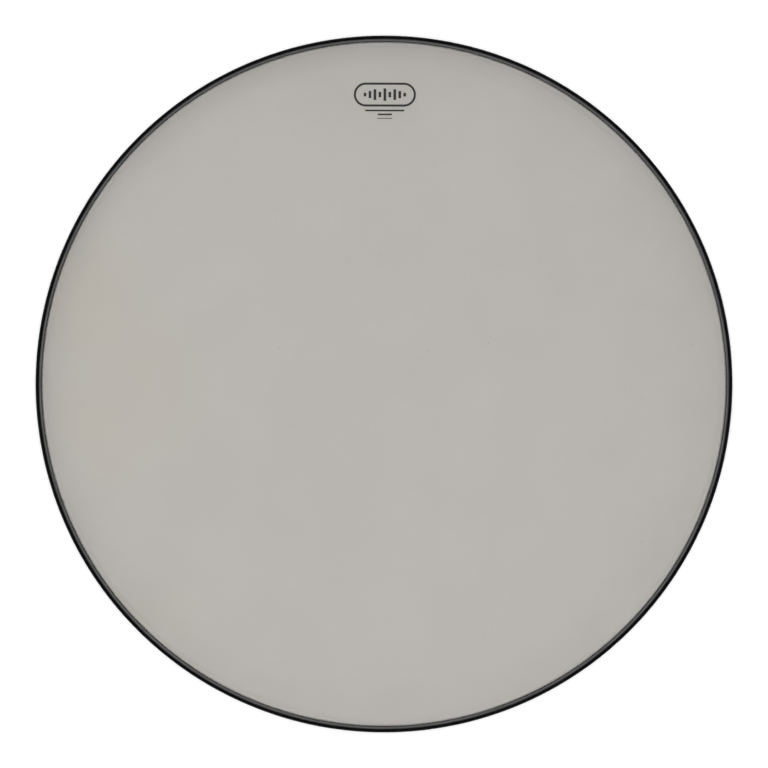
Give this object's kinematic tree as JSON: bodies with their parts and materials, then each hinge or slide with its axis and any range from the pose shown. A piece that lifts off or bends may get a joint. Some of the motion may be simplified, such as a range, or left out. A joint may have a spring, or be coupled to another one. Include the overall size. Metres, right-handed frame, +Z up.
{
  "type": "timpani drumhead",
  "caption": "Timpani drumhead: a hazy formed film with a shallow collar, potted into a dark channel hoop with a steel insert ring.",
  "frame": {"origin": "centre of the hoop, on the plane that the hoop's underside rests on", "axes": "+Z up out of the playing surface along the head's axis, +Y from the centre to the printed mark, +X to the player's right as the mark is read upright"},
  "size_m": [0.7873, 0.7874, 0.0201],
  "materials": {
    "film": "hazy translucent polyester with a fine tooth on the playing side",
    "channel": "black coated, satin",
    "insert": "dark satin steel bar",
    "resin": "cast dark resin, smooth with a slight gloss",
    "ink": "screen-printed ink, matte"
  },
  "bodies": {
    "root": {"film": "film", "hoop_channel": "channel", "insert_ring": "insert", "potting_resin": "resin", "printed_mark": "ink"}
  },
  "joints": []
}
